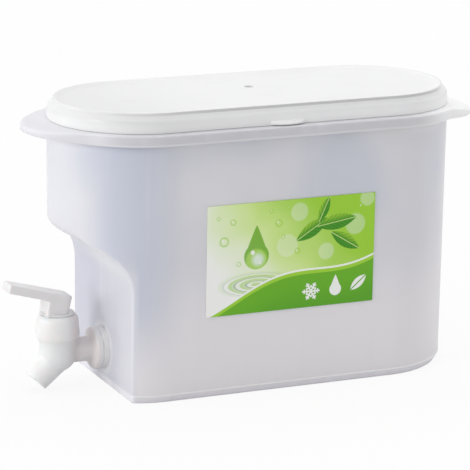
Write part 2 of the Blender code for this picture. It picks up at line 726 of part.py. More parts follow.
def tap_lever(material):
    lean = math.tan(NECK_LEAN)
    fall = math.tan(BLADE_SLOPE)
    deep = BLADE_THICKNESS / math.cos(BLADE_SLOPE)
    # Height of the neck's front face, up to where it meets the blade's underside
    rise = (BLADE_TOP - deep + NECK_FRONT * fall - NECK_BOTTOM) / (1 + lean * fall)
    neck_top = -NECK_FRONT + rise * lean
    tip_shift = BLADE_THICKNESS * math.sin(BLADE_SLOPE)
    tip_top = -LEVER_REACH + tip_shift
    side = [
        (-NECK_FRONT, NECK_BOTTOM),
        (NECK_BACK, NECK_BOTTOM),
        (BLADE_BACK, blade_top(BLADE_BACK)),
        (tip_top, blade_top(tip_top)),
        (-LEVER_REACH, blade_top(-LEVER_REACH) - deep),
        (neck_top, NECK_BOTTOM + rise),
    ]
    place = (TAP_X, 0.0, 0.0)
    bm = prism(side, lever_width)
    bmesh.ops.bevel(bm, geom=list(bm.edges), offset=LEVER_EDGE, segments=2, profile=0.5, affect="EDGES")
    piece = add_object("tap_lever", bm, material, place)

    # The blade is cored from below and the neck has a square socket for the plug's drive
    inner_start = -LEVER_REACH + LEVER_WALL + tip_shift
    inner_stop = -NECK_FRONT - LEVER_WALL
    roof = LEVER_WALL / math.cos(BLADE_SLOPE)
    core = [
        (inner_stop, blade_top(inner_stop) - deep - OVERRUN),
        (inner_stop, blade_top(inner_stop) - roof),
        (inner_start, blade_top(inner_start) - roof),
        (inner_start - tip_shift, blade_top(inner_start) - deep - OVERRUN),
    ]
    pocket = prism(core, lambda x: lever_width(x) - 2 * LEVER_WALL)
    combine(piece, add_object("blade_core", pocket, None, place), "DIFFERENCE")
    half = DRIVE_SIZE / 2 + GAP
    socket = box((-half, -half, NECK_BOTTOM - OVERRUN), (half, half, DRIVE_TOP + GAP))
    combine(piece, add_object("drive_socket", socket, None, place), "DIFFERENCE")
    return piece


def build():
    clear_scene()
    milky = principled("milky plastic", (0.72, 0.74, 0.80), 0.35)
    white = principled("white plastic", (0.86, 0.86, 0.86), 0.32)
    tap_white = principled("tap plastic", (0.84, 0.83, 0.82), 0.3)
    valve = principled("valve plastic", (0.78, 0.79, 0.80), 0.35)
    rubber = principled("clear rubber", (0.70, 0.70, 0.69), 0.5)
    paper = principled("label film", (0.62, 0.80, 0.42), 0.3)
    container(milky)
    lid(white)
    label(paper)
    tap_body(tap_white)
    gasket("outer_gasket", OUTER_GASKET_START, OUTER_GASKET_THICKNESS, OUTER_GASKET_RADIUS, rubber)
    gasket("inner_gasket", INNER_GASKET_START, INNER_GASKET_THICKNESS, INNER_GASKET_RADIUS, rubber)
    tap_nut(tap_white)
    tap_plug(valve)
    plug_seal(rubber)
    tap_lever(tap_white)


build()
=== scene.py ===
from math import acos, atan, atan2, cos, hypot, pi, radians, sin, sqrt, tan

import bmesh
import bpy
from mathutils import Matrix, Vector


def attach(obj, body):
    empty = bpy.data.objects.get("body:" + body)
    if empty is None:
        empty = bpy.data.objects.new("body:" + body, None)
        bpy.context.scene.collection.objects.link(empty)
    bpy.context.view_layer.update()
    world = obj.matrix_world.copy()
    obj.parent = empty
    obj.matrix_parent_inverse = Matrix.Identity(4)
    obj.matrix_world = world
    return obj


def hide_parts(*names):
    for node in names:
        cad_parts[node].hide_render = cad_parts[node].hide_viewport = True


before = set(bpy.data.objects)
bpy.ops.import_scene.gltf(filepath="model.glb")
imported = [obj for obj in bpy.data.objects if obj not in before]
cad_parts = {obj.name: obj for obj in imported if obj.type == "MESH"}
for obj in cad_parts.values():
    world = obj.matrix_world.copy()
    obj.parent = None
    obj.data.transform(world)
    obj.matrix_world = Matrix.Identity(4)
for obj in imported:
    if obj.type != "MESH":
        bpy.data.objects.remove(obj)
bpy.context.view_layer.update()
print("frame loaded")

mm = 0.001

# Sizes in metres that more than one piece or material uses

jug = {
    "halfStraight": 0.0776,  # from the middle to the centre of each round end
    "tapX": -0.1305,  # the barrel's axis
    "tapHeight": 0.0236,  # the axis of the stem and of the hole in the panel
    "gatePlace": (0.0030, 0.0095),  # the moulding mark on the lid
    "gateRadius": 0.0029,
    "labelMiddle": (0.0043, 0.0881),  # x and height
}


# Modelling helpers

def onlySelect(piece=None):
    if bpy.context.object and bpy.context.object.mode != "OBJECT":
        editMode(False)
    bpy.ops.object.select_all(action="DESELECT")
    if piece:
        piece.select_set(True)
        bpy.context.view_layer.objects.active = piece


def editMode(on=True):
    bpy.ops.object.mode_set(mode="EDIT" if on else "OBJECT")


def selectWhole():
    bpy.ops.mesh.select_all(action="SELECT")


def faceOutwards():
    selectWhole()
    bpy.ops.mesh.normals_make_consistent(inside=False)


def added(name):
    # Takes the primitive just added, with its place moved into its mesh
    piece = bpy.context.object
    piece.name = name
    piece.data.name = name
    bpy.ops.object.transform_apply(location=True, rotation=True, scale=True)
    return piece


def choose(piece, kind, test, degrees=0):
    # In edit mode, leaves selected only the vertices or edges whose middle passes the test, and of the
    # edges only those whose faces meet at this angle or more
    bpy.ops.mesh.select_mode(type=kind)
    bpy.ops.mesh.select_all(action="DESELECT")
    mesh = bmesh.from_edit_mesh(piece.data)
    for item in mesh.verts if kind == "VERT" else mesh.edges:
        corners = [item] if kind == "VERT" else list(item.verts)
        middle = sum((corner.co for corner in corners), Vector()) / len(corners)
        sharp = kind == "VERT" or item.calc_face_angle(0.0) >= radians(degrees)
        if sharp and test(middle):
            item.select_set(True)
    mesh.select_flush_mode()
    bmesh.update_edit_mesh(piece.data)


def drawChain(name, points):
    # A chain of edges: a small plane melted to one vertex, then extruded from point to point
    points = [Vector(point) for point in points]
    onlySelect()
    bpy.ops.mesh.primitive_plane_add(size=mm, location=points[0])
    piece = added(name)
    editMode()
    bpy.ops.mesh.select_mode(type="VERT")
    selectWhole()
    bpy.ops.mesh.merge(type="CENTER")
    for here, after in zip(points, points[1:]):
        bpy.ops.mesh.extrude_region_move(TRANSFORM_OT_translate={"value": after - here})
    return piece


def turned(name, points, centre, axis, steps):
    # Spins a chain of edges all the way round
    piece = drawChain(name, points)
    selectWhole()
    bpy.ops.mesh.spin(steps=steps, angle=2 * pi, center=centre, axis=axis)
    selectWhole()
    bpy.ops.mesh.remove_doubles(threshold=1e-6)
    faceOutwards()
    editMode(False)
    return piece


def turnedUp(name, profile, steps=72):
    # Spins millimetre pairs of radius and height round the barrel's axis
    x = jug["tapX"]
    points = [(x + radius * mm, 0.0, height * mm) for radius, height in profile]
    return turned(name, points, (x, 0.0, 0.0), (0, 0, 1), steps)


def turnedAlong(name, profile, steps=72):
    # Spins millimetre pairs of distance behind the barrel's axis and radius round the stem's axis
    x, height = jug["tapX"], jug["tapHeight"]
    points = [(x + along * mm, 0.0, height + radius * mm) for along, radius in profile]
    return turned(name, points, (0.0, 0.0, height), (1, 0, 0), steps)


def finishWith(piece, kind, **settings):
    onlySelect(piece)
    modifier = piece.modifiers.new(kind.title(), kind)
    for name, value in settings.items():
        setattr(modifier, name, value)
    bpy.ops.object.modifier_apply(modifier=modifier.name)


def unite(piece, tool, operation="UNION"):
    finishWith(piece, "BOOLEAN", operation=operation, solver="EXACT", object=tool)
    bpy.data.objects.remove(tool)


def carve(piece, tool):
    unite(piece, tool, "DIFFERENCE")


def smoothBelow(piece, degrees):
    onlySelect(piece)
    bpy.ops.object.shade_smooth_by_angle(angle=radians(degrees))


def arc(centreX, centreY, radius, start, stop, steps):
    # Points on an arc, angles in degrees
    turns = [radians(start + (stop - start) * step / steps) for step in range(steps + 1)]
    return [(centreX + radius * cos(turn), centreY + radius * sin(turn)) for turn in turns]


def rod(name, radius, depth, place, steps=48, turn=0.0, stretch=(1, 1, 1)):
    # A round bar along Z, leaned towards X by an angle in degrees
    onlySelect()
    bpy.ops.mesh.primitive_cylinder_add(
        vertices=steps, radius=radius, depth=depth, location=place, rotation=(0, radians(turn), 0),
        scale=stretch)
    return added(name)


def block(name, size, place):
    onlySelect()
    bpy.ops.mesh.primitive_cube_add(size=1, location=place, scale=size)
    return added(name)


def slab(name, points, width, tipFrom, tipShare):
    # Fills a millimetre outline beside the barrel's axis, draws it out across and narrows its tip
    x, half = jug["tapX"], width / 2 * mm
    piece = drawChain(name, [(x + along * mm, -half, up * mm) for along, up in points])
    selectWhole()
    bpy.ops.mesh.edge_face_add()
    bpy.ops.mesh.extrude_region_move(TRANSFORM_OT_translate={"value": (0, 2 * half, 0)})
    choose(piece, "VERT", lambda middle: middle.x < x + tipFrom * mm)
    bpy.ops.transform.resize(value=(1, tipShare, 1))
    faceOutwards()
    return piece


def softenEdges(piece, width, segments):
    finishWith(
        piece, "BEVEL", width=width, segments=segments, limit_method="ANGLE", angle_limit=radians(40))


def linked(name, data):
    piece = bpy.data.objects.new(name, data)
    bpy.context.scene.collection.objects.link(piece)
    return piece


def dress(piece, finish):
    piece.data.materials.clear()
    piece.data.materials.append(finish)


def shown(piece, body, slot, finish, *nodes):
    dress(piece, finish)
    if nodes:
        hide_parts(*nodes)
    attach(piece, body)
    print(piece.name, "ready with", len(piece.data.polygons), "faces")


# Shader helpers

def treeOf(data):
    data.use_nodes = True
    return data.node_tree


def addNode(tree, kind, inputs=None, **settings):
    node = tree.nodes.new("ShaderNode" + kind)
    for name, value in settings.items():
        setattr(node, name, value)
    for key, value in (inputs or {}).items():
        named = [socket for socket in node.inputs if socket.identifier == key]
        socket = named[0] if named else node.inputs[key]
        if isinstance(value, bpy.types.NodeSocket):
            tree.links.new(value, socket)
        else:
            socket.default_value = value
    return node


def maths(operation, reflected=False):
    # A method of Link that writes one Math node
    def write(link, *others):
        values = (*others, link) if reflected else (link, *others)
        return link.finish.add("Math", dict(enumerate(values)), operation=operation)
    return write


class Link:
    # One output of a node, on which plain sums write Math nodes
    def __init__(self, finish, socket):
        self.finish = finish
        self.socket = socket

    __add__, __radd__ = maths("ADD"), maths("ADD", True)
    __sub__, __rsub__ = maths("SUBTRACT"), maths("SUBTRACT", True)
    __mul__, __rmul__ = maths("MULTIPLY"), maths("MULTIPLY", True)
    __truediv__, __rtruediv__ = maths("DIVIDE"), maths("DIVIDE", True)
    __pow__, __mod__ = maths("POWER"), maths("FLOORED_MODULO")
    most, size, root = maths("MAXIMUM"), maths("ABSOLUTE"), maths("SQRT")
    sine, cosine, angleFrom = maths("SINE"), maths("COSINE"), maths("ARCTAN2")

    def reach(self, other):
        # The long side of a right triangle on this and the other
        return (self ** 2.0 + other ** 2.0).root()

    def rise(self, low, high):
        # 0 at low, 1 at high and a smooth step between; low may be the larger
        return self.finish.add(
            "MapRange", {"Value": self, "From Min": low, "From Max": high},
            interpolation_type="SMOOTHSTEP", clamp=True)


class Finish:
    # A material in the making, with its Principled shader's even values set first
    def __init__(self, name, settings):
        self.material = bpy.data.materials.new(name)
        self.tree = treeOf(self.material)
        self.shader = self.tree.nodes["Principled BSDF"]
        for socket, value in settings.items():
            self.shader.inputs[socket].default_value = value
        self.place = self.add("TexCoord", {}, "Object")
        self.x, self.y, self.z = (self.add("SeparateXYZ", {0: self.place}, axis) for axis in range(3))

    def add(self, kind, inputs, output=0, **settings):
        inputs = {key: value.socket if isinstance(value, Link) else value for key, value in inputs.items()}
        return Link(self, addNode(self.tree, kind, inputs, **settings).outputs[output])

    def noise(self, scale, detail, stretch=None, turn=(0, 0, 0), move=(0, 0, 0)):
        place = self.place
        if stretch:
            inputs = {"Vector": place, "Scale": stretch, "Rotation": turn, "Location": move}
            place = self.add("Mapping", inputs)
        return self.add("TexNoise", {"Vector": place, "Scale": scale, "Detail": detail, "Roughness": 0.55})

    def mix(self, factor, first, second):
        first, second = (
            value if isinstance(value, Link) else (*value, 1.0) for value in (first, second))
        inputs = {"Factor_Float": factor, "A_Color": first, "B_Color": second}
        return self.add("Mix", inputs, 2, data_type="RGBA")

    def hairlines(self, turn, scale, least, thin=0.03, soft=0.03):
        # Sparse, fine, short lines from a noise drawn out along one direction
        return self.noise(1.0, 1.0, (scale * thin, scale * thin, scale), turn).rise(least, least + soft)

    def painted(self, paint, places):
        # A plain colour, or a list: a first colour and the tints laid over it in turn. A tint holds its
        # own paint, its share, and the places that limit it, each with where it starts and where it is full.
        if isinstance(paint, tuple):
            return paint
        base = paint[0]
        for over, share, *limits in paint[1:]:
            cover = share
            for name, *span in limits:
                limit = places[name].rise(*span) if span else places[name]
                cover = limit * cover
            base = self.mix(cover, base, self.painted(over, places))
        return base

    def feed(self, colour, roughness, layers):
        # Each layer is a link, its share of the roughness and its height in metres
        height = 0.0
        for link, share, tall in layers:
            if share:
                roughness = roughness + link * share
            if tall:
                height = height + link * tall
        bump = self.add("Bump", {"Height": height, "Strength": 1.0, "Distance": 1.0})
        for name, link in (("Base Color", colour), ("Roughness", roughness), ("Normal", bump)):
            self.tree.links.new(link.socket, self.shader.inputs[name])


def makeFinish(name, look, extraPlaces=None):
    # A material from its table of noises, masks, paint and surface layers
    finish = Finish(name, look["settings"])
    places = {
        "x": finish.x, "y": finish.y, "z": finish.z, "endways": finish.x.size(), "sideways": finish.y.size()}
    for layer, values in look["noises"].items():
        places[layer] = finish.noise(*values)
    if "lines" in look:
        places["lines"] = finish.hairlines(*look["lines"])
    for layer, (source, low, high) in look.get("masks", {}).items():
        places[layer] = places[source].rise(low, high)
    if extraPlaces:
        places.update(extraPlaces(finish, places, look))
    layers = [(places[layer], share, tall) for layer, (share, tall) in look["surface"].items()]
    finish.feed(finish.painted(look["paint"], places), look["roughness"], layers)
    return finish.material


# Materials. In a paint, places are in metres and noises from 0 to 1.

def plastic(scatter, radius, depth, density, sheen):
    return {
        "Subsurface Weight": scatter, "Subsurface Radius": radius, "Subsurface Scale": depth, "IOR": density,
        "Specular IOR Level": sheen}


milkThin = (0.785, 0.782, 0.825)
# A cool, dark colour for painted shade
milkCoolShade = (0.60, 0.635, 0.745)
# A pale colour for painted light
milkLitEnd = (0.785, 0.79, 0.84)
milkyLook = {
    "settings": plastic(0.5, (0.9, 0.95, 1.0), 0.0025, 1.49, 0.42),
    "noises": {
        "cloud": (14.0, 2.0),
        "drag": (1.0, 2.0, (90, 90, 6)),  # faint upright flow lines
        "grain": (2600.0, 1.0),
        "patch": (11.0, 1.0, (1, 1, 0.8), (0, 0, 0), (0.3, 0.1, 0.2)),
    },
    "lines": ((0.2, 0.5, 0.1), 2200, 0.70),
    "rim": (0.1641, 0.1645),
    "ears": (0.136, 0.138),
    # Height of the painted highlight along the rim skirt's lower edge
    "skirtHighlightHeight": 0.1652,
    "ridgeHeight": 0.0051,
    "paint": [
        (0.745, 0.742, 0.790),
        (milkThin, 1, ("cloud", 0.35, 0.7)),
        # Paler towards the base, painted light
        ((0.874, 0.845, 0.885), 1, ("z", 0.095, 0.03)),
        # Painted light on the round end over the tap
        (milkLitEnd, 1, ("x", -0.118, -0.131), ("z", 0.10, 0.13)),
        # Painted light on the wall under the rim, against the rim's shadow
        ((0.92, 0.915, 0.95), 0.85, ("z", 0.155, 0.1645)),
        # Painted shade, cool and dark: a patch on the front, and the bend between end and front
        (milkCoolShade, 0.55, ("patch", 0.5, 0.68), ("z", 0.095, 0.125), ("y", -0.010, -0.040)),
        (milkCoolShade, 0.85, ("x", -0.130, -0.108), ("x", -0.062, -0.100), ("y", -0.020, -0.042),
         ("z", 0.01, 0.07)),
        # Painted light on the far end
        ((0.86, 0.855, 0.895), 0.9, ("x", 0.110, 0.129)),
        # Painted shade on the panel behind the tap, darker at the back, and painted light round the gasket
        # against its contact shadow
        ([(0.69, 0.688, 0.745), ((0.594, 0.605, 0.689), 1, ("y", -0.045, 0.025))],
         0.9, ("x", -0.0980, -0.0996), ("z", 0.105, 0.075)),
        ((0.84, 0.84, 0.87), 0.8, ("x", -0.0980, -0.0996), ("fromHole", 0.0195, 0.0142)),
        # Painted light on the hollow sweep over the panel, with painted shade towards the back
        ([(0.78, 0.79, 0.82), ((0.67, 0.68, 0.74), 1, ("y", -0.01, 0.035))],
         0.7, ("x", -0.127, -0.112), ("x", -0.0990, -0.1010), ("z", 0.072, 0.084), ("z", 0.110, 0.104),
         ("fromEnd", 0.0557, 0.0549)),
        # The upright corners of the recess: a painted highlight on the near corner and painted shade on the
        # far one
        ([milkLitEnd, ((0.34, 0.35, 0.41), 1, ("y", -0.01, 0.01))],
         0.4, ("sideways", 0.0485, 0.0500), ("x", -0.0960, -0.0975), ("z", 0.09, 0.08)),
        # The rim and its ears: first the tap's ear, then painted shade on the sides, a painted highlight
        # along the skirt's lower edge and painted light on the far ear
        ([(0.755, 0.75, 0.785),
          ((0.64, 0.635, 0.665), 0.9, ("sideways", 0.045, 0.0585)),
          ((0.76, 0.755, 0.785), 0.8, ("fromBead", 0.0009, 0.0004)),
          ((0.97, 0.97, 0.975), 1, ("x", 0.078, 0.124))],
         1, ("rimAndEars",)),
        # Painted light on the band round the foot, and a painted highlight on its ridge
        ((0.90, 0.885, 0.955), 0.9, ("z", 0.0049, 0.0045)),
        ((0.95, 0.95, 0.96), 0.5, ("fromRidge", 0.0007, 0.0003)),
        (milkThin, 0.35, ("drag", 0.5, 0.9)),
    ],
    "roughness": 0.36,
    "surface": {  # share of the roughness and height in metres
        "cloud": (0.06, 0.0004), "drag": (0, 0.00003), "grain": (0.05, 0.000012), "lines": (0.12, -0.000015)},
}


def milkyPlaces(finish, places, look):
    return {
        "fromHole": (finish.z - jug["tapHeight"]).reach(finish.y),
        "fromEnd": (finish.x + jug["halfStraight"]).reach(finish.y),
        "fromBead": (finish.z - look["skirtHighlightHeight"]).size(),
        "fromRidge": (finish.z - look["ridgeHeight"]).size(),
        "rimAndEars": finish.z.rise(*look["rim"]).most(places["endways"].rise(*look["ears"])),
    }


# A dark colour for painted shade at the lid's step and round its deck
whiteStepShade = (0.58, 0.582, 0.582)
# The places that limit the painted shade on the lid's sides, outside the deck and short of the far end
whiteSides = (("sideways", 0.02, 0.047), ("x", 0.125, 0.110), ("fromMiddle", 0.0518, 0.0522))
whiteLook = {
    "settings": plastic(0.3, (1.0, 0.95, 0.9), 0.003, 1.5, 0.45),
    "noises": {"cloud": (18.0, 2.0), "grain": (2200.0, 1.0)},
    "lines": ((0.3, 0.2, 0.7), 1800, 0.70),
    "deckEdge": 0.0516,  # from the lid's middle line to the painted shade line round its deck
    "paint": [
        (0.895, 0.895, 0.892),
        ((0.86, 0.862, 0.86), 0.7, ("cloud", 0.3, 0.75)),
        # Painted shade on the slope just under the step, and on the step
        ((0.74, 0.742, 0.742), 0.8, ("z", 0.1785, 0.1805), ("z", 0.1832, 0.1826), *whiteSides),
        (whiteStepShade, 0.9, ("z", 0.1814, 0.1818), ("z", 0.1835, 0.1831), *whiteSides),
        # Painted light on the upright side, brighter towards the far end
        ((0.97, 0.97, 0.97), 1, ("z", 0.1795, 0.1755), ("x", -0.10, 0.08)),
        # A painted shade line round the deck
        (whiteStepShade, 0.5, ("fromDeckEdge", 0.0006, 0.0002), ("z", 0.1825, 0.183)),
        # Painted shade on the tap end and on the finger tab, and in the moulding mark's pit
        ((0.785, 0.787, 0.785), 0.85, ("x", -0.03, -0.115), ("z", 0.1745, 0.179)),
        ((0.82, 0.82, 0.82), 0.8, ("y", -0.0567, -0.0572), ("z", 0.176, 0.175)),
        ((0.42, 0.42, 0.41), 1, ("gateShare", 1.25, 0.6), ("z", 0.175, 0.18)),
    ],
    "roughness": 0.3,
    "surface": {"cloud": (0.05, 0.0003), "grain": (0.05, 0.00001), "lines": (0.15, -0.000012)},
}


def whitePlaces(finish, places, look):
    gateX, gateY = jug["gatePlace"]
    fromMiddle = (places["endways"] - jug["halfStraight"]).most(0.0).reach(finish.y)
    return {
        "fromMiddle": fromMiddle,
        "fromDeckEdge": (fromMiddle - look["deckEdge"]).size(),
        "gateShare": (finish.x - gateX).reach(finish.y - gateY) / jug["gateRadius"],
    }


def tapPaint(colour, shade, warmShade):
    return [
        colour,
        (shade, 1, ("cloud", 0.35, 0.7)),
        (shade, 0.25, ("parting",)),
        # Painted shade on the barrel's side towards the jug, on the stem and on the flange
        (warmShade, 0.85, ("x", -0.130, -0.121)),
        ((0.785, 0.74, 0.735), 1, ("x", -0.120, -0.117)),
        ((0.865, 0.845, 0.845), 1, ("x", -0.108, -0.105)),
    ]


tapLook = {
    "settings": plastic(0.35, (1.0, 0.62, 0.58), 0.004, 1.5, 0.5),
    "noises": {"cloud": (45.0, 2.0), "grain": (3000.0, 1.0)},
    "lines": ((0.7, 0.1, 0.4), 2600, 0.69),
    "masks": {"parting": ("sideways", 0.00028, 0.00005)},  # the line where the mould's halves met
    "paint": tapPaint((0.925, 0.915, 0.91), (0.87, 0.855, 0.85), (0.71, 0.66, 0.655)),
    "roughness": 0.28,
    "surface": {
        "cloud": (0.06, 0.0001), "grain": (0.04, 0.000008), "parting": (0, 0.00003),
        "lines": (0.15, -0.00001)},
}
# The lever's paint: the tap's colours made darker, painted shade
leverShadeLook = {**tapLook, "paint": tapPaint((0.835, 0.82, 0.82), (0.79, 0.77, 0.77), (0.70, 0.67, 0.67))}

rubberLook = {
    "settings": plastic(0.5, (1.0, 0.9, 0.85), 0.002, 1.41, 0.35),
    "noises": {"cloud": (160.0, 3.0), "grain": (3200.0, 1.0), "specks": (1500.0, 3.0)},
    "masks": {"dust": ("specks", 0.68, 0.74)},
    "paint": [
        # The first colour is made paler, painted light against the flange's shade on the gasket
        (0.87, 0.86, 0.855),
        ((0.79, 0.775, 0.77), 1, ("cloud", 0.3, 0.7)),
        # Painted light on the thin edge against the panel, against the shade where they meet
        ((0.97, 0.965, 0.965), 1, ("x", -0.1018, -0.1006)),
    ],
    "roughness": 0.45,
    "surface": {"cloud": (0, 0.00005), "grain": (0.08, 0.000012), "dust": (0.2, 0)},
}

labelLook = {
    # Lengths of the print are in millimetres from the label's middle
    "settings": {"IOR": 1.48, "Specular IOR Level": 0.3, "Coat Weight": 0.12, "Coat Roughness": 0.15},
    "paper": (0.98, 0.985, 0.96),
    "haze": (0.68, 0.88, 0.30),
    "lime": (0.36, 0.68, 0.04),
    "green": (0.15, 0.47, 0.016),
    "leaf": (0.06, 0.32, 0.012),
    "shade": (0.015, 0.10, 0.008),
    "water": (0.84, 0.93, 0.88),
    "slant": {"across": 0.0105, "up": 0.0085, "cloud": 0.35, "start": -0.1},
    "discs": (  # place and radius
        (5.0, 27.0, 6.5), (-3.0, 6.0, 8.0), (44.0, 16.0, 7.5), (52.0, 32.0, 5.5), (24.0, 0.0, 6.0),
    ),
    "ripples": {
        "place": (-24.0, -17.0),
        "squash": 3.2,
        "waves": 0.8,
        "near": 18.0,
        "rings": (  # shift, least height shown, where they have died out, share and colour
            (0.0, -0.2, 29.0, 0.6, "lime"), (2.2, 0.5, 27.0, 0.5, "leaf"),
        ),
    },
    "drop": (-24.0, 1.0, 8.2, 20.0),  # place, radius and height of the point
    "dropRim": {"place": (-24.0, -1.5), "from": 6.0, "to": 8.4, "share": 0.55},
    "dropSpots": (  # place, outer and inner radius, share and colour
        (-23.0, -1.2, 6.0, 1.5, 0.85, "water"), (-26.6, 3.6, 1.9, 0.9, 0.95, "paper"),
        (-21.6, -3.4, 1.0, 0.5, 0.8, "paper"),
    ),
    "leafWidth": 0.36,
    "leaves": (  # place, turn and half length
        (14.0, 15.0, 0.55, 13.0), (31.0, 18.5, 0.15, 14.0), (37.0, 6.0, -0.55, 12.0), (22.0, 27.0, 1.15, 9.0),
    ),
    "bubbles": (  # place and radius
        (-46.0, 12.0, 3.4), (-40.0, 24.0, 2.2), (-50.0, 27.0, 1.4), (-9.0, 21.0, 2.6), (-6.0, 12.0, 1.5),
        (-36.0, -3.0, 1.7), (48.0, 27.0, 2.2), (-14.0, 29.0, 1.6), (4.0, 2.0, 2.1), (-2.0, 30.0, 1.1),
    ),
    "wave": {"bend": 0.055, "shift": 2.1, "swing": 5.0, "climb": 0.27, "low": -18.0},
    "waveBands": (  # where a band starts and is full below the wave's line, its share and colour
        (-3.0, -2.6, 0.9, "paper"), (-1.7, -1.3, 1.0, "lime"), (0.6, 1.0, 1.0, "green"),
        (4.0, 26.0, 0.5, "leaf"),
    ),
    "crystal": {
        "place": (14.0, -25.2), "arm": (0.62, 0.42), "tip": (6.2, 6.0), "branch": (1.05, 0.75),
        "branches": ((2.2, 1.9), (4.0, 1.5)),  # where on the arm and how far out
    },
    "signDrop": (31.0, -25.4, 4.0, 9.5),
    "signLeaf": (47.0, -22.5, 0.7, 7.4, 0.42),
    "roughness": 0.3,
}


def makeLabelPrint():
    # White running to green, with a drop over ripples, a sprig, bubbles and a wave with three signs
    look = labelLook
    finish = Finish("printed label film", look["settings"])
    middleX, middleZ = jug["labelMiddle"]
    across = (finish.x - middleX) / mm
    up = (finish.z - middleZ) / mm
    base = look["paper"]

    def lay(cover, colour):
        # One more tint over the print so far
        nonlocal base
        base = finish.mix(cover, base, look[colour])

    def reach(x, z):
        return (across - x).reach(up - z)

    def dropShape(x, z, radius, tall):
        # A circle that narrows to a point above
        ball = reach(x, z).rise(radius * 1.06, radius * 0.98)
        narrow = (up - z) / tall
        halfWide = (1.0 - narrow).most(0.0) ** 0.9 * radius
        peak = (halfWide - (across - x).size()).rise(-0.2, 0.2)
        return ball.most(peak * narrow.rise(0.0, 0.06) * narrow.rise(1.0, 0.98))

    def leafShape(x, z, turn, long, wideShare):
        along = (across - x) * cos(turn) + (up - z) * sin(turn)
        aside = (up - z) * cos(turn) - (across - x) * sin(turn)
        wide = (1.0 - (along / long) ** 2.0).most(0.0) * (long * wideShare)
        leaf = (wide - aside.size()).rise(-0.12, 0.3) * along.size().rise(long, long * 0.99)
        return leaf, along, aside

    slant = look["slant"]
    soft = finish.noise(35.0, 1.0)
    lean = across * slant["across"] + up * slant["up"] + soft * slant["cloud"] + slant["start"]
    lay(lean.rise(-0.55, 0.12), "haze")
    lay(lean.rise(-0.10, 0.60), "lime")

    # Discs of light out of focus
    for x, z, radius in look["discs"]:
        lay(reach(x, z).rise(radius, radius * 0.8) * 0.28, "paper")

    # Ripples round the place where the drop falls in
    ripples = look["ripples"]
    x, z = ripples["place"]
    squashed = (across - x).reach((up - z) * ripples["squash"])
    for shift, least, far, share, colour in ripples["rings"]:
        ring = (squashed * ripples["waves"] + shift).sine().rise(least, 1.0)
        lay(ring * squashed.rise(far, ripples["near"]) * share, colour)

    # The drop, dark at its edge, clear inside and with bright spots
    drop, rim = dropShape(*look["drop"]), look["dropRim"]
    lay(drop * 0.85, "lime")
    lay(drop * reach(*rim["place"]).rise(rim["from"], rim["to"]) * rim["share"], "leaf")
    for x, z, outer, inner, share, colour in look["dropSpots"]:
        lay(reach(x, z).rise(outer, inner) * share, colour)

    # Leaves with a vein and ribs
    for x, z, turn, long in look["leaves"]:
        leaf, along, aside = leafShape(x, z, turn, long, look["leafWidth"])
        ribs = (along * 2.0 - aside.size() * 2.6).sine()
        lay(leaf, "leaf")
        lay(leaf * (aside / (long * look["leafWidth"])).rise(-0.1, 0.9) * 0.8, "lime")
        lay(leaf * ribs.rise(0.2, 1.0) * 0.35, "shade")
        lay(leaf * aside.size().rise(0.42, 0.18) * 0.75, "haze")

    # Bubbles
    for x, z, radius in look["bubbles"]:
        away = reach(x, z)
        edge = away.rise(radius, radius * 0.88) * away.rise(radius * 0.35, radius * 0.95)
        lay(edge * 0.75, "lime")
        lay(reach(x - radius * 0.3, z + radius * 0.3).rise(radius * 0.35, 0.0), "paper")

    # A green wave that climbs to the right under a white and a light line
    wave = look["wave"]
    shore = (across * wave["bend"] + wave["shift"]).sine() * wave["swing"]
    shore = shore + across * wave["climb"] + wave["low"] - up
    for start, full, share, colour in look["waveBands"]:
        lay(shore.rise(start, full) * share, colour)

    # Three white signs on the wave: ice crystal, drop and leaf
    crystal = look["crystal"]
    x, z = crystal["place"]
    sixth = pi / 3
    folded = (((up - z).angleFrom(across - x) + sixth / 2) % sixth - sixth / 2).size()
    along = reach(x, z) * folded.cosine()
    aside = reach(x, z) * folded.sine()
    arms = aside.rise(*crystal["arm"]) * along.rise(*crystal["tip"])
    for start, long in crystal["branches"]:
        branch = (aside - (along - start) * tan(sixth)).size().rise(*crystal["branch"])
        arms = arms.most(branch * aside.rise(long, long - 0.2) * along.rise(*crystal["tip"]))
    leaf, along, aside = leafShape(*look["signLeaf"])
    signs = arms.most(dropShape(*look["signDrop"])).most(leaf * aside.size().rise(0.25, 0.5))
    lay(signs * 0.96, "paper")

    layers = [(finish.noise(60.0, 1.0), 0, 0.0001), (finish.noise(2400.0, 1.0), 0.05, 0.000006)]
    finish.feed(base, look["roughness"], layers)
    return finish.material


milky = makeFinish("milky frosted plastic", milkyLook, milkyPlaces)
white = makeFinish("white lid plastic", whiteLook, whitePlaces)
tapWhite = makeFinish("white tap plastic", tapLook)
leverShadedWhite = makeFinish("white lever plastic with painted shade", leverShadeLook)
rubber = makeFinish("cloudy silicone rubber", rubberLook)
labelPrint = makeLabelPrint()
print("materials ready")


# Container: a loft, because each level has its own outline and the recess needs clean creases

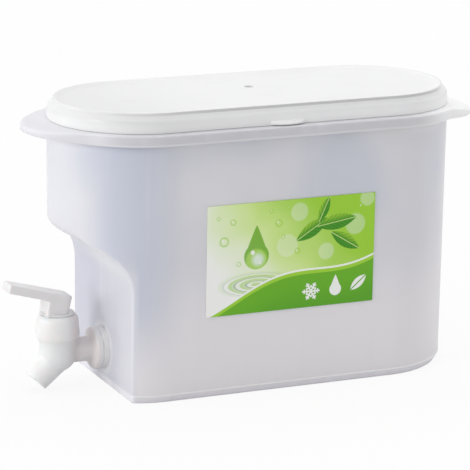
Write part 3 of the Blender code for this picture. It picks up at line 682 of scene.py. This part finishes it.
tub = {
    "width": 0.1126,
    "height": 0.1713,
    "wall": 0.0018,
    "floor": 0.0022,
    "draft": 0.0008,
    "recessDepth": 0.0337,
    "panelHeight": 0.0697,
    "sweep": 0.032,
    "slope": radians(20),
    "shoulderRound": 0.0085,
    "shoulderFade": (radians(25), radians(38)),  # where the rounding runs out into the sweep
    "corner": 0.0026,
    "foot": 0.006,
    "footBand": (  # millimetres in and up
        (3.6, 0.0), (2.9, 0.12), (2.4, 0.45), (2.05, 0.95), (1.85, 1.4), (0.05, 4.55), (-0.12, 4.8),
        (-0.16, 4.95), (-0.1, 5.15), (0.05, 5.45), (0.1, 5.65), (0.02, 6.0),
    ),
    "panelFootShare": 0.5,
    "hollow": ((12.5, 8.5, 0.7), (11.8, 7.8, 0.0)),  # millimetres in from wall and panel, and up
    "innerFootShare": 0.7,
    "rimReach": 0.0065,
    "rimPlate": 0.0018,
    "rimSkirt": 0.0016,
    "rimDrop": 0.0068,
    "rimEdge": 0.0007,
    "rimFillet": 0.0012,
    "skirtEdge": 0.0004,
    "tapEar": {"reach": 0.0122, "spread": radians(42), "drop": 0.0042, "sag": 0.0011, "soft": 2.0,
               "full": 0.72},
    "farEar": {"reach": 0.0127, "spread": radians(50), "drop": 0.0036, "sag": 0.0064, "soft": 3.0,
               "full": 0.62},
    "holeRadius": 0.0082,
    "holeDepth": 0.008,
    "flatTurn": radians(15),  # the least angles over which the flat and its corner are spread
    "bendTurn": radians(22),
    "flatSteps": 9,
    "bendSteps": 8,
    "tapEndSteps": 22,
    "farEndSteps": 34,
    "sideSteps": 10,
}
straight = jug["halfStraight"]
panelDistance = tub["width"] / 2 - tub["recessDepth"]
sweepTurn = pi / 2 - tub["slope"]
sweepEnd = Vector((panelDistance, tub["panelHeight"]))
sweepEnd += tub["sweep"] * Vector((1 - cos(sweepTurn), sin(sweepTurn)))


def halfWidth(level):
    return tub["width"] / 2 - tub["draft"] * (1 - level / tub["height"])


def spaced(start, stop, steps):
    return [start + (stop - start) * step / steps for step in range(steps)]


def tapEnd(width, cut):
    # Angles and distances from the tap end's centre, cut off flat with a rounded corner
    corner = tub["corner"]
    arcDistance = width - corner
    flatDistance = min(cut, width) - corner
    lean = acos(max(-1.0, min(1.0, flatDistance / arcDistance)))
    flatStop = atan2(arcDistance * sin(lean), flatDistance + corner)
    first = max(flatStop, tub["flatTurn"])
    second = max(lean, tub["bendTurn"])
    angles = spaced(0.0, first, tub["flatSteps"]) + spaced(first, second, tub["bendSteps"])
    angles += spaced(second, pi / 2, tub["tapEndSteps"]) + [pi / 2]
    points = []
    for angle in angles:
        distance = width
        if angle <= flatStop:
            distance = (flatDistance + corner) / cos(angle)
        elif angle < lean:
            sideways = arcDistance * sin(angle - lean)
            distance = arcDistance * cos(angle - lean) + sqrt(corner ** 2 - sideways ** 2)
        points.append((angle, distance))
    return points


def ceilingRound(angle, level, width, inset):
    # Distance of the wall at this level where a ball rolled along the ceiling's outer edge has rounded it
    first, last = tub["shoulderFade"]
    share = min(1.0, max(0.0, (last - angle) / (last - first)))
    radius = tub["shoulderRound"] * share * share * (3 - 2 * share) - inset
    if radius <= 0.0001:
        return width
    rise = tan(tub["slope"]) * cos(angle)
    tilt = cos(atan(rise))
    ceiling = sweepEnd.y + ((width - radius) * cos(angle) - sweepEnd.x) * tan(tub["slope"])
    centre = ceiling + inset / cos(tub["slope"]) + radius / tilt
    if centre - radius * tilt < level < centre:
        return width - radius + sqrt(radius ** 2 - (centre - level) ** 2)
    return width


def outline(level, width, cut=None, ears=0.0, drop=0.0, edge=(0.0, 0.0), inset=0.0):
    # One level's loop. Ears is how much of their reach shows, drop lowers them below the skirt,
    # edge moves the loop out and up, and inset is how far inside the outer face it runs.
    near = tapEnd(width, width if cut is None else cut)
    near = [(angle, min(distance, ceilingRound(angle, level, width, inset))) for angle, distance in near]
    far = [(angle, width) for angle in spaced(0.0, pi / 2, tub["farEndSteps"]) + [pi / 2]]

    def place(end, angle, distance, side):
        ear = tub["tapEar"] if end < 0 else tub["farEar"]
        swell = (1 + cos(pi * angle / ear["spread"])) / 2 if angle < ear["spread"] else 0.0
        swell = swell ** ear["full"]
        soft = 1 + ear["soft"] * swell
        radius = distance + ears * ear["reach"] * swell + edge[0] * soft
        sag = ears * ear["sag"] + drop * (ear["drop"] - tub["rimDrop"])
        x = end * (straight + radius * cos(angle))
        return Vector((x, side * radius * sin(angle), level + edge[1] * soft - sag * swell))

    def side(start, stop):
        return [start.lerp(stop, step / tub["sideSteps"]) for step in range(1, tub["sideSteps"])]

    front = [place(-1, angle, distance, -1) for angle, distance in near]
    frontFar = [place(1, angle, distance, -1) for angle, distance in reversed(far)]
    backFar = [place(1, angle, distance, 1) for angle, distance in far[1:]]
    back = [place(-1, angle, distance, 1) for angle, distance in reversed(near[1:])]
    return front + side(front[-1], frontFar[0]) + frontFar + backFar + side(backFar[-1], back[0]) + back


def footLevels(start, radius, inset, cut, steps=8):
    loops = []
    for step in range(steps + 1):
        turn = pi / 2 * step / steps
        level = start + radius * (1 - cos(turn))
        drawnIn = radius * (1 - sin(turn))
        width = halfWidth(level) - inset - drawnIn
        loops.append(outline(level, width, cut - inset - drawnIn * tub["panelFootShare"]))
    return loops


def recessCurve(sweepSteps=20, slopeSteps=24, endSteps=14):
    # Distance of the cut, its height and the way into the plastic, from the panel's top upwards
    centre = Vector((panelDistance + tub["sweep"], tub["panelHeight"]))
    points = []
    for step in range(sweepSteps + 1):
        turn = sweepTurn * step / sweepSteps
        inward = Vector((-cos(turn), sin(turn)))
        points.append((centre + inward * tub["sweep"], inward))
    run = halfWidth(sweepEnd.y) - sweepEnd.x
    slopeEnd = sweepEnd + Vector((run, run * tan(tub["slope"])))
    points += [(sweepEnd.lerp(slopeEnd, step / slopeSteps), inward) for step in range(1, slopeSteps + 1)]
    beyond, above = 0.004, tub["shoulderRound"] * 1.05
    for step in range(1, endSteps + 1):
        points.append((slopeEnd + Vector((beyond, above * step / endSteps)), inward))
    return points


def makeContainer():
    top, wall = tub["height"], tub["wall"]
    rimWidth = halfWidth(top)
    skirtOut = rimWidth + tub["rimReach"]
    skirtIn = skirtOut - tub["rimSkirt"]
    plate = top - tub["rimPlate"]
    skirtLow = top - tub["rimDrop"]
    fillet, edge, low = tub["rimFillet"], tub["rimEdge"], tub["skirtEdge"]
    curve = recessCurve()

    # The base stands on a band round its edge
    outside = [
        outline(up * mm, halfWidth(0) - wallIn * mm, panelDistance - panelIn * mm)
        for wallIn, panelIn, up in tub["hollow"]]
    for drawnIn, level in tub["footBand"]:
        cut = panelDistance - drawnIn * mm * tub["panelFootShare"]
        outside.append(outline(level * mm, halfWidth(level * mm) - drawnIn * mm, cut))
    for level in spaced(tub["foot"], tub["panelHeight"], 9)[1:]:
        outside.append(outline(level, halfWidth(level), panelDistance))
    outside += [outline(point.y, halfWidth(point.y), point.x) for point, _ in curve]
    for level in spaced(curve[-1][0].y, plate - fillet, 9)[1:]:
        outside.append(outline(level, halfWidth(level)))
    for out, down in arc(fillet, -fillet, fillet, 180, 90, 4):
        outside.append(outline(plate + down, halfWidth(plate) + out))
    wallLoop, skirtLoop = outside[-1], outline(plate, skirtIn - low, ears=1)
    for share in (0.33, 0.66, 1.0):
        outside.append([here.lerp(there, share) for here, there in zip(wallLoop, skirtLoop)])
    outside.append(outline(plate - low, skirtIn, ears=1))
    for out, up in arc(low, low, low, 180, 360, 6):
        width = skirtIn + out * tub["rimSkirt"] / (2 * low)
        outside.append(outline(skirtLow + up, width, ears=1, drop=1))
    for out, up in arc(-edge, -edge, edge, 0, 90, 5):
        outside.append(outline(top, skirtOut, ears=1, edge=(out, up)))

    inside = footLevels(tub["floor"], tub["foot"] * tub["innerFootShare"], wall, panelDistance)
    for level in spaced(tub["foot"], tub["panelHeight"], 6)[1:]:
        inside.append(outline(level, halfWidth(level) - wall, panelDistance - wall))
    for point, inward in curve:
        inner = point + inward * wall
        inside.append(outline(inner.y, halfWidth(inner.y) - wall, inner.x, inset=wall))
    inside.append(outline(top - low, rimWidth - wall))
    inside.append(outline(top, rimWidth - wall + low))
    inside.append(outline(top, rimWidth))

    mesh = bmesh.new()
    loops = [[mesh.verts.new(point) for point in loop] for loop in outside + inside[::-1]]
    mesh.faces.new(reversed(loops[0]))
    mesh.faces.new(loops[-1])
    for lower, upper in zip(loops, loops[1:]):
        for index in range(len(lower)):
            after = (index + 1) % len(lower)
            mesh.faces.new((lower[index], lower[after], upper[after], upper[index]))
    data = bpy.data.meshes.new("milkyTub")
    mesh.to_mesh(data)
    mesh.free()
    piece = linked("milkyTub", data)
    place = (-straight - panelDistance, 0, jug["tapHeight"])
    carve(piece, rod("panelHole", tub["holeRadius"], tub["holeDepth"], place, 64, 90))
    smoothBelow(piece, 32)
    return piece


shown(makeContainer(), "jug", "milky_plastic", milky, "container")


# Lid: one turned section, pulled apart at the middle into a long shape

lid = {
    "seat": 0.1716,
    "wallLine": 0.0563,
    "steps": 150,
    "crossCuts": 13,
    "section": [
        # millimetres outside the wall line and above the seat, from the underside of the deck outwards
        (-14.0, 9.4), (-6.6, 9.4), (-5.2, 9.2), (-2.2, 7.3), (-1.8, 6.8), (-1.85, 5.0), (-3.3, 1.6),
        (-3.5, 1.0), (-3.5, -6.8), (-3.3, -7.0), (-2.8, -7.0), (-2.6, -6.9), (-2.1, -6.0), (-2.1, -0.1),
        (-2.0, -0.15), (-0.12, -0.15), (-0.02, -0.1), (0.0, 0.0), (-0.02, 0.9), (-0.3, 4.5), (-0.34, 5.2),
        (-0.46, 6.05), (-0.65, 6.85), (-0.9, 7.53), (-1.25, 7.95), (-3.35, 9.85), (-3.62, 10.12),
        (-3.85, 10.42), (-3.98, 10.75), (-4.02, 11.1), (-4.04, 11.6), (-4.1, 11.8), (-4.25, 11.95),
        (-4.5, 12.0), (-4.95, 11.97), (-5.6, 11.85), (-6.6, 11.65), (-7.8, 11.4), (-9.0, 11.22),
        (-10.2, 11.12), (-11.5, 11.08), (-14.0, 11.08),
    ],
    "tabHalfWidth": 0.0109,
    "tabReach": 0.0040,
    "tabLow": 0.0003,
    "tabRoot": 0.0022,
    "tabTip": 0.0010,
    "tabEdge": 0.00025,
    "tabInWall": 0.0008,
    "gateDepth": 0.0005,
}


def makeLid():
    wall, seat, pull = lid["wallLine"], lid["seat"], jug["halfStraight"]
    points = [(wall + out * mm, 0.0, seat + up * mm) for out, up in lid["section"]]
    piece = turned("whiteLid", points, (0, 0, 0), (0, 0, 1), lid["steps"])
    editMode()
    for end in (-1, 1):
        choose(piece, "VERT", lambda middle: middle.x * end > 0)
        bpy.ops.transform.translate(value=(end * pull, 0, 0))
    for level in (lid["section"][0][1], lid["section"][-1][1]):
        choose(piece, "EDGE", lambda middle: abs(middle.z - seat - level * mm) < 1e-5 and (
            hypot(max(abs(middle.x) - pull, 0), middle.y) < wall + (lid["section"][0][0] + 0.1) * mm))
        bpy.ops.mesh.edge_face_add()
    for number in range(lid["crossCuts"]):
        x = ((2 * number + 1) / lid["crossCuts"] - 1) * pull
        selectWhole()
        bpy.ops.mesh.bisect(plane_co=(x, 0, 0), plane_no=(1, 0, 0))
    faceOutwards()

    # The finger tab: a flat half-round plate whose top slopes down to its tip
    low, blank = seat + lid["tabLow"], 0.01
    stretch = (lid["tabHalfWidth"], lid["tabReach"], 1)
    tab = rod("fingerTab", 1, blank, (0, -wall, low + blank / 2), 72, stretch=stretch)
    editMode()
    slope = (lid["tabRoot"] - lid["tabTip"]) / lid["tabReach"]
    for spot, normal in (
            ((0, lid["tabInWall"] - wall, 0), (0, 1, 0)),
            ((0, -wall, low + lid["tabRoot"]), (0, -slope, 1))):
        selectWhole()
        bpy.ops.mesh.bisect(plane_co=spot, plane_no=normal, use_fill=True, clear_outer=True)
    editMode(False)
    softenEdges(tab, lid["tabEdge"], 2)
    unite(piece, tab)

    floor = seat + lid["section"][-1][1] * mm - lid["gateDepth"]
    place = (*jug["gatePlace"], floor + mm)
    carve(piece, rod("gateMark", jug["gateRadius"], 2 * mm, place))
    smoothBelow(piece, 35)
    return piece


shown(makeLid(), "lid", "white_plastic", white, "lid")


# Tap body: barrel with collar, slanted spout, stem with flange, hollowed for the valve

tap = {
    # In millimetres from the barrel's axis or the base; elbow, spout, bores, voxel and join are in metres
    "barrel": [  # radius and height of the collar's turned section, above the ball
        (11.8, 29.4), (11.88, 30.4), (12.15, 31.4), (12.75, 32.5), (13.4, 33.5), (13.8, 34.4), (13.95, 35.4),
        (13.95, 36.6), (13.8, 38.8), (13.5, 42.2), (13.15, 45.2), (12.8, 46.5), (12.3, 47.3), (11.7, 48.0),
        (11.0, 48.4), (0.0, 48.4),
    ],
    "ball": (11.8, 22.6),  # radius and height
    "elbowHeight": 0.0210,
    "spoutLength": 0.0208,
    "spoutRadii": (0.0098, 0.0081),
    "spoutBore": 0.0060,
    "stemBore": 0.0052,
    "stem": [  # distance behind the axis and radius
        (0, 0), (0, 7.9), (20.2, 7.9), (20.8, 8.2), (21.2, 9.0), (21.6, 10.6), (22.0, 12.1), (22.5, 13.05),
        (23.1, 13.4), (23.8, 13.5), (26.3, 13.5), (26.5, 13.4), (26.5, 7.1), (26.5, 0.0),
    ],
    "thread": {"from": 27.2, "to": 45.0, "pitch": 2.5, "rise": 1.0, "flat": 0.4, "root": 7.1, "crest": 7.9},
    "stemInside": 22.0,  # where the threaded end starts inside the flange
    "stemEnd": 45.9,
    "stemTaper": (0.6, 0.3),
    "chamber": [  # radius and height, with a groove for the plug's bead
        (0.0, 18.0), (9.8, 18.0), (9.8, 42.0), (10.3, 42.6), (10.3, 43.8), (9.8, 44.4), (9.8, 49.4),
        (0.0, 49.4),
    ],
    "voxel": 0.00042,
    "soften": 7,
    "join": {"before": 0.003, "along": -0.0155, "low": 0.014, "high": 0.0305, "soften": 45},
}


def slanted(length):
    # The middle of a bar that runs 45 degrees down from the elbow and away from the jug
    half = length / 2 * sqrt(0.5)
    return jug["tapX"] - half, 0, tap["elbowHeight"] - half


def makeTapBody():
    x, height = jug["tapX"], jug["tapHeight"]
    ballRadius, ballHeight = tap["ball"]
    piece = turnedUp("tapBody", arc(0, ballHeight, ballRadius, -90, 0, 16) + tap["barrel"])

    bigEnd, smallEnd = tap["spoutRadii"]
    onlySelect()
    bpy.ops.mesh.primitive_cone_add(
        vertices=72, radius1=bigEnd, radius2=smallEnd, depth=tap["spoutLength"],
        location=slanted(tap["spoutLength"]), rotation=(0, radians(225), 0))
    unite(piece, added("spout"))

    # The stem up to the panel is part of the softened casting
    unite(piece, turnedAlong("stem", tap["stem"]))
    finishWith(piece, "REMESH", mode="VOXEL", voxel_size=tap["voxel"])
    finishWith(piece, "SMOOTH", factor=0.5, iterations=tap["soften"])

    # A softer join where the spout leaves the barrel
    join = tap["join"]
    slant = Vector((1, 0, 1)).normalized()
    elbow = Vector((x, 0, tap["elbowHeight"]))
    onlySelect(piece)
    editMode()
    choose(piece, "VERT", lambda corner: (
        corner.x < x - join["before"] and join["low"] < corner.z < join["high"]
        and (corner - elbow).dot(slant) > join["along"]))
    bpy.ops.mesh.vertices_smooth(factor=0.5, repeat=join["soften"])
    editMode(False)

    # The threaded end
    thread = tap["thread"]
    root, crest, end = thread["root"], thread["crest"], tap["stemEnd"]
    back, inward = tap["stemTaper"]
    rear = [(tap["stemInside"], 0.0), (tap["stemInside"], root)]
    along = thread["from"]
    while along < thread["to"]:
        top = along + thread["rise"]
        rear += [(along, root), (top, crest), (top + thread["flat"], crest)]
        along += thread["pitch"]
    rear += [(end - back, root), (end, root - inward), (end, 0.0)]
    unite(piece, turnedAlong("thread", rear, 64))

    # Hollows: the chamber, the way in and the way out
    carve(piece, turnedUp("chamber", tap["chamber"]))
    depth = tap["stemEnd"] * mm + mm
    carve(piece, rod("wayIn", tap["stemBore"], depth, (x + depth / 2, 0, height), turn=90))
    depth = tap["spoutLength"] + mm
    carve(piece, rod("wayOut", tap["spoutBore"], depth, slanted(depth), turn=225))
    smoothBelow(piece, 40)
    return piece


shown(makeTapBody(), "jug", "tap_plastic", tapWhite, "tap_body")


# Outer gasket between flange and panel

gasket = {
    "from": 26.45,  # millimetres behind the barrel's axis; squeezed against flange and panel
    "thickness": 3.8,
    "radius": 13.45,
    "hole": 8.2,
    "edge": 0.25,
}


def makeGasket():
    start, stop = gasket["from"], gasket["from"] + gasket["thickness"]
    radius, hole, edge = gasket["radius"], gasket["hole"], gasket["edge"]
    points = [(start, hole)]
    points += arc(start + edge, radius - edge, edge, 180, 90, 4)
    points += arc(stop - edge, radius - edge, edge, 90, 0, 4)
    points += [(stop, hole), (start, hole)]
    piece = turnedAlong("outerGasket", points)
    smoothBelow(piece, 40)
    return piece


shown(makeGasket(), "jug", "clear_rubber", rubber, "outer_gasket")


# Lever: neck and blade in one

lever = {
    # In millimetres, places from the barrel's axis and the base
    "side": [
        (-9.5, 48.5), (4.9, 48.5), (7.8, 60.34), (-33.03, 71.66), (-34.5, 66.36), (-8.2, 59.05),
    ],
    "bottom": 48.5,
    "width": 16.0,
    "tipWidth": 14.2,
    "tipFrom": -30.0,
    "backFrom": 6.0,
    "backSide": 7.0,
    "backRound": 2.8,
    "edge": 0.9,
    "foot": {"radius": 10.6, "height": 1.3, "edge": 0.4},
    "core": {
        "slope": radians(15.5), "wall": 1.6, "roof": 62.5, "depth": 5.5, "start": -8.3, "end": -34.5,
        "overrun": 1.0, "tipFrom": -20.0, "tipShare": 0.86,
    },
    "drive": {"side": 7.6, "top": 55.2, "overrun": 1.0},
}


def makeLever():
    x, bottom = jug["tapX"], lever["bottom"] * mm
    width = lever["width"]
    piece = slab("tapLever", lever["side"], width, lever["tipFrom"], lever["tipWidth"] / width)
    choose(piece, "EDGE", lambda middle: (
        middle.x > x + lever["backFrom"] * mm and abs(middle.y) > lever["backSide"] * mm))
    bpy.ops.mesh.bevel(offset=lever["backRound"] * mm, segments=6, affect="EDGES")
    choose(piece, "EDGE", lambda middle: middle.z > bottom + 0.0001, 25)
    bpy.ops.mesh.bevel(offset=lever["edge"] * mm, segments=4, affect="EDGES")
    editMode(False)

    # A low round foot that covers the barrel's mouth
    foot = lever["foot"]
    depth = foot["height"] * mm
    disc = rod("leverFoot", foot["radius"] * mm, depth, (x, 0, bottom + depth / 2), 72)
    softenEdges(disc, foot["edge"] * mm, 3)
    unite(piece, disc)

    # The core under the blade
    core = lever["core"]
    wall, slope = core["wall"], core["slope"]
    tilt = core["depth"] * sin(slope)
    inner, outer = core["start"] - wall, core["end"] + wall + tilt
    under, below = wall / cos(slope), core["depth"] / cos(slope) + core["overrun"]
    innerTop, outerTop = (core["roof"] - along * tan(slope) for along in (inner, outer))
    points = [
        (inner, innerTop - below), (inner, innerTop - under), (outer, outerTop - under),
        (outer - tilt, outerTop - below)]
    carve(piece, slab("bladeCore", points, width - 2 * wall, core["tipFrom"], core["tipShare"]))

    # The square socket under the neck
    drive = lever["drive"]
    side, depth = drive["side"] * mm, (drive["top"] + drive["overrun"]) * mm - bottom
    place = (x, 0, drive["top"] * mm - depth / 2)
    carve(piece, block("driveSocket", (side, side, depth), place))
    smoothBelow(piece, 30)
    finishWith(piece, "WEIGHTED_NORMAL", keep_sharp=True)
    return piece


shown(makeLever(), "tap_handle", "tap_plastic", leverShadedWhite, "tap_lever")


# Label: a thin film on the front wall

label = {
    "length": 0.1150,
    "height": 0.0708,
    "thickness": 0.00045,
    "front": -0.05668,
    "edge": 0.00012,
}


def makeLabel():
    x, z = jug["labelMiddle"]
    middle = (x, label["front"] + label["thickness"] / 2, z)
    piece = block("labelFilm", (label["length"], label["thickness"], label["height"]), middle)
    editMode()
    choose(piece, "VERT", lambda corner: corner.z < z)
    bpy.ops.transform.translate(value=(0, label["height"] * tub["draft"] / tub["height"], 0))
    editMode(False)
    softenEdges(piece, label["edge"], 2)
    smoothBelow(piece, 30)
    finishWith(piece, "WEIGHTED_NORMAL", keep_sharp=True)
    return piece


shown(makeLabel(), "jug", "label_film", labelPrint, "label")


# The pieces inside keep their CAD meshes

inner = {
    "inner_gasket": rubber,
    "plug_seal": rubber,
    "tap_nut": tapWhite,
    "tap_plug": tapWhite,
}
for nodeName, finish in inner.items():
    dress(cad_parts[nodeName], finish)
print("inner pieces ready")


# Stage: a pale floor, a plain world and soft lamps

stage = {
    "ambient": 0.555,
    "floorColour": (0.80, 0.80, 0.80),
    "floorSeen": (0.94, 0.94, 0.94),
    "floorOwn": 0.87,  # how much of what the camera sees of the floor is its own white
    "lamps": {
        # the way towards the lamp, its strength and how soft its shadows are
        "left": ((-0.95, -0.25, 0.30), 0.92, 22),
        "behind left": ((-0.90, 0.40, 0.08), 0.50, 22),
        "right": ((1.0, 0.02, 0.35), 0.55, 50),
        "top": ((0.0, 0.27, 0.96), 0.90, 75),
    },
}


def makeWorld():
    # Full white where it is seen, also in a sheen or through something, and dimmer as light on the jug
    world = bpy.data.worlds.new("plain studio")
    bpy.context.scene.world = world
    tree = treeOf(world)
    ground = tree.nodes["Background"]
    ground.inputs["Color"].default_value = (1, 1, 1, 1)
    rays = addNode(tree, "LightPath").outputs
    seen = rays["Is Camera Ray"]
    for kind in ("Is Glossy Ray", "Is Transmission Ray"):
        seen = addNode(tree, "Math", {0: seen, 1: rays[kind]}, operation="MAXIMUM").outputs[0]
    strength = addNode(tree, "MapRange", {"Value": seen, "To Min": stage["ambient"], "To Max": 1.0})
    tree.links.new(strength.outputs[0], ground.inputs["Strength"])


def makeFloor():
    onlySelect()
    bpy.ops.mesh.primitive_plane_add(size=14, location=(0, 0, 0))
    floor = added("floor")
    material = bpy.data.materials.new("pale floor")
    tree = treeOf(material)
    tree.nodes.clear()
    matt, pale = (
        addNode(tree, "BsdfDiffuse", {"Color": (*stage[colour], 1)}).outputs[0]
        for colour in ("floorColour", "floorSeen"))
    glow = addNode(tree, "Emission").outputs[0]
    seen = addNode(tree, "MixShader", {0: stage["floorOwn"], 1: pale, 2: glow}).outputs[0]
    toCamera = addNode(tree, "LightPath").outputs["Is Camera Ray"]
    blend = addNode(tree, "MixShader", {0: toCamera, 1: matt, 2: seen}).outputs[0]
    addNode(tree, "OutputMaterial", {0: blend})
    floor.data.materials.append(material)


def makeLamps():
    for name, (towards, strength, softness) in stage["lamps"].items():
        data = bpy.data.lights.new(name, "SUN")
        data.energy = strength
        data.angle = radians(softness)
        lamp = linked(name, data)
        lamp.location = towards
        lamp.rotation_euler = Vector(towards).to_track_quat("Z", "Y").to_euler()


makeWorld()
makeFloor()
makeLamps()
print("stage ready")


# Camera at the photograph's view

camera = {
    "yaw": radians(-24.27),
    "pitch": radians(14.32),
    "roll": radians(0.91),
    "target": (0, 0, 0.0863),
    "distance": 1.75301,
    "focalPixels": 2727.54,
    "framePixels": 470,
    "middlePixels": (248.35, 236.85),
    "sensor": 36,
}


def makeCamera():
    turn = Matrix.Rotation(camera["yaw"], 3, "Z") @ Matrix.Rotation(pi / 2 - camera["pitch"], 3, "X")
    turn = turn @ Matrix.Rotation(camera["roll"], 3, "Z")
    data = bpy.data.cameras.new("camera")
    data.sensor_width = camera["sensor"]
    data.lens = camera["sensor"] * camera["focalPixels"] / camera["framePixels"]
    middleX, middleY = camera["middlePixels"]
    data.shift_x = 0.5 - middleX / camera["framePixels"]
    data.shift_y = middleY / camera["framePixels"] - 0.5
    eye = linked("camera", data)
    place = Vector(camera["target"]) + turn.col[2] * camera["distance"]
    eye.matrix_world = Matrix.Translation(place) @ turn.to_4x4()
    bpy.context.scene.camera = eye
    bpy.context.scene.view_settings.view_transform = "Standard"


makeCamera()
